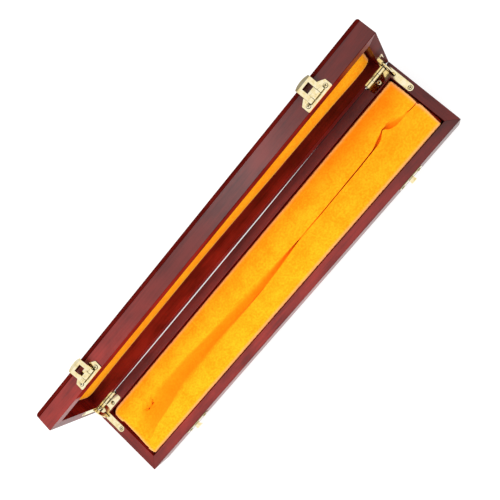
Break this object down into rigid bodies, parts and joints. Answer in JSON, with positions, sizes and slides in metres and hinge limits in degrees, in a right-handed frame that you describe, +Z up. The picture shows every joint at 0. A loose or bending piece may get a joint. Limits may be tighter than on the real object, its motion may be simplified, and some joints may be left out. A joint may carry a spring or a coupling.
{
  "type": "fan box",
  "caption": "Slim hinged wooden case for a folding fan, standing open, with mitred lacquered boards, a padded velvet lining, brass quadrant hinges and hasps on the front.",
  "frame": {"origin": "middle of the box's flat underside, with the lid standing open", "axes": "+X along the box, +Y towards the hinges, +Z up"},
  "size_m": [0.345, 0.0912, 0.0965],
  "materials": {
    "lacquer": "dark red-brown lacquer, polished",
    "velvet": "orange-yellow short-pile velvet over soft padding",
    "card": "plain grey board",
    "brass": "bright plated, polished"
  },
  "bodies": {
    "base": {"base_front": "lacquer", "base_back": "lacquer", "base_left": "lacquer", "base_right": "lacquer", "base_bottom": "lacquer", "cushion_back": "velvet", "cushion_front": "velvet", "left_hinge_base_leaf": "brass", "left_hinge_pin": "brass", "left_catch": "brass", "left_hinge_base_leg_screw": "brass", "left_hinge_base_arm_screw": "brass", "left_catch_screw_1": "brass", "left_catch_screw_2": "brass", "right_hinge_base_leaf": "brass", "right_hinge_pin": "brass", "right_catch": "brass", "right_hinge_base_leg_screw": "brass", "right_hinge_base_arm_screw": "brass", "right_catch_screw_1": "brass", "right_catch_screw_2": "brass"},
    "lid": {"lid_front": "lacquer", "lid_back": "lacquer", "lid_left": "lacquer", "lid_right": "lacquer", "lid_top": "lacquer", "lid_lining_card": "card", "lid_lining": "velvet", "left_hinge_lid_leaf": "brass", "left_latch_plate": "brass", "left_hasp_pin": "brass", "left_hinge_lid_leg_screw": "brass", "left_hinge_lid_arm_screw": "brass", "left_latch_screw_1": "brass", "left_latch_screw_2": "brass", "right_hinge_lid_leaf": "brass", "right_latch_plate": "brass", "right_hasp_pin": "brass", "right_hinge_lid_leg_screw": "brass", "right_hinge_lid_arm_screw": "brass", "right_latch_screw_1": "brass", "right_latch_screw_2": "brass"},
    "left_hasp": {"left_hasp": "brass"},
    "right_hasp": {"right_hasp": "brass"},
    "left_stay": {"left_quadrant_stay": "brass"},
    "right_stay": {"right_quadrant_stay": "brass"}
  },
  "joints": [
    {"name": "lid_hinge", "type": "hinge", "parent": "base", "child": "lid", "pos_m": [0, 0.03215, 0.02815], "axis": [1, 0, 0], "range_deg": [0, 94.5]},
    {"name": "left_hasp_swing", "type": "hinge", "parent": "lid", "child": "left_hasp", "pos_m": [-0.1213, 0.0411, 0.09405], "axis": [1, 0, 0], "range_deg": [0, 165]},
    {"name": "right_hasp_swing", "type": "hinge", "parent": "lid", "child": "right_hasp", "pos_m": [0.1213, 0.0411, 0.09405], "axis": [1, 0, 0], "range_deg": [0, 165]},
    {"name": "left_stay_slide", "type": "hinge", "parent": "base", "child": "left_stay", "pos_m": [-0.168, 0.03215, 0.02815], "axis": [1, 0, 0], "range_deg": [0, 47.25]},
    {"name": "right_stay_slide", "type": "hinge", "parent": "base", "child": "right_stay", "pos_m": [0.168, 0.03215, 0.02815], "axis": [1, 0, 0], "range_deg": [0, 47.25]}
  ],
  "couplings": [
    {"joint": "left_stay_slide", "follows": "lid_hinge", "ratio": 0.5},
    {"joint": "right_stay_slide", "follows": "lid_hinge", "ratio": 0.5}
  ]
}
